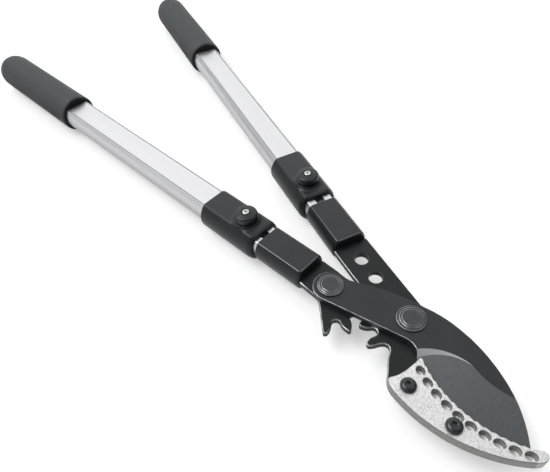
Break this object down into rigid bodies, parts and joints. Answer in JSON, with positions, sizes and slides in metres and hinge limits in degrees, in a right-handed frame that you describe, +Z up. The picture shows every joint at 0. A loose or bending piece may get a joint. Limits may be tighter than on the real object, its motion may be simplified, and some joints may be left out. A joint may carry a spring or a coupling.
{
  "type": "bypass loppers",
  "caption": "Telescopic geared bypass loppers with a hook-shaped serrated jaw, a curved cutting blade, sliding tube handles with clamp knobs and soft grips.",
  "frame": {"origin": "middle of the main pivot bolt's head, on its flat top", "axes": "+X from the grips to the jaw, +Y to the right handle's side, +Z up, out of the bolt's head"},
  "size_m": [0.7099, 0.2606, 0.0425],
  "materials": {
    "black_coated_steel": "black low-gloss coating on steel plate and fasteners, satin, with faint grain",
    "grey_coated_blade_steel": "dark grey non-stick coating on the blade, satin, over a ground bevel",
    "sandblasted_silver_steel": "silver cast jaw, sandblasted and speckled",
    "anodised_aluminium": "bright silver anodised extrusion with fine lengthwise streaks",
    "bright_plated_steel": "bright zinc plating",
    "black_moulded_plastic": "black moulded plastic, fine texture",
    "grey_green_rubber_grip": "grey-green soft grip, matt, fine texture"
  },
  "bodies": {
    "blade": {"blade_plate": "grey_coated_blade_steel", "main_pivot_bolt": "black_coated_steel", "main_pivot_washer": "bright_plated_steel", "main_pivot_nut": "bright_plated_steel", "lever_pivot_bolt": "black_coated_steel", "lever_pivot_washer": "bright_plated_steel", "lever_pivot_nut": "bright_plated_steel"},
    "lever": {"lever_plate": "black_coated_steel", "left_end_fitting": "black_moulded_plastic", "left_tang_pin": "bright_plated_steel", "left_tube_pin": "bright_plated_steel", "left_inner_tube": "anodised_aluminium", "left_inner_guide": "black_moulded_plastic"},
    "hook": {"hook_plate": "black_coated_steel", "serrated_jaw": "sandblasted_silver_steel", "jaw_screw_1": "black_coated_steel", "jaw_screw_2": "black_coated_steel", "jaw_nut_1": "bright_plated_steel", "jaw_nut_2": "bright_plated_steel", "right_end_fitting": "black_moulded_plastic", "right_tang_pin": "bright_plated_steel", "right_tube_pin": "bright_plated_steel", "right_inner_tube": "anodised_aluminium", "right_inner_guide": "black_moulded_plastic"},
    "left_sleeve": {"left_outer_tube": "anodised_aluminium", "left_collar": "black_moulded_plastic", "left_clamp_nut": "bright_plated_steel", "left_grip": "grey_green_rubber_grip"},
    "right_sleeve": {"right_outer_tube": "anodised_aluminium", "right_collar": "black_moulded_plastic", "right_clamp_nut": "bright_plated_steel", "right_grip": "grey_green_rubber_grip"},
    "left_knob": {"left_clamp_knob": "black_moulded_plastic", "left_clamp_screw": "bright_plated_steel"},
    "right_knob": {"right_clamp_knob": "black_moulded_plastic", "right_clamp_screw": "bright_plated_steel"}
  },
  "joints": [
    {"name": "lever_pivot", "type": "hinge", "parent": "blade", "child": "lever", "pos_m": [-0.0595, -0.0271, 0], "axis": [0, 0, 1], "range_deg": [0, 42]},
    {"name": "main_pivot", "type": "hinge", "parent": "blade", "child": "hook", "pos_m": [0, 0, 0], "axis": [0, 0, 1], "range_deg": [-42, 0]},
    {"name": "left_telescope", "type": "slide", "parent": "lever", "child": "left_sleeve", "axis": [-0.9823, -0.1874, 0], "range_m": [-0.004, 0.296]},
    {"name": "right_telescope", "type": "slide", "parent": "hook", "child": "right_sleeve", "axis": [-0.9836, 0.1805, 0], "range_m": [-0.007, 0.293]},
    {"name": "left_knob_turn", "type": "hinge", "parent": "left_sleeve", "child": "left_knob", "pos_m": [-0.15507, -0.041, 0], "axis": [0, 0, 1], "range_deg": [0, 180]},
    {"name": "right_knob_turn", "type": "hinge", "parent": "right_sleeve", "child": "right_knob", "pos_m": [-0.16052, 0.02946, 0], "axis": [0, 0, 1], "range_deg": [0, 180]}
  ],
  "couplings": [
    {"joint": "main_pivot", "follows": "lever_pivot", "ratio": -1}
  ]
}
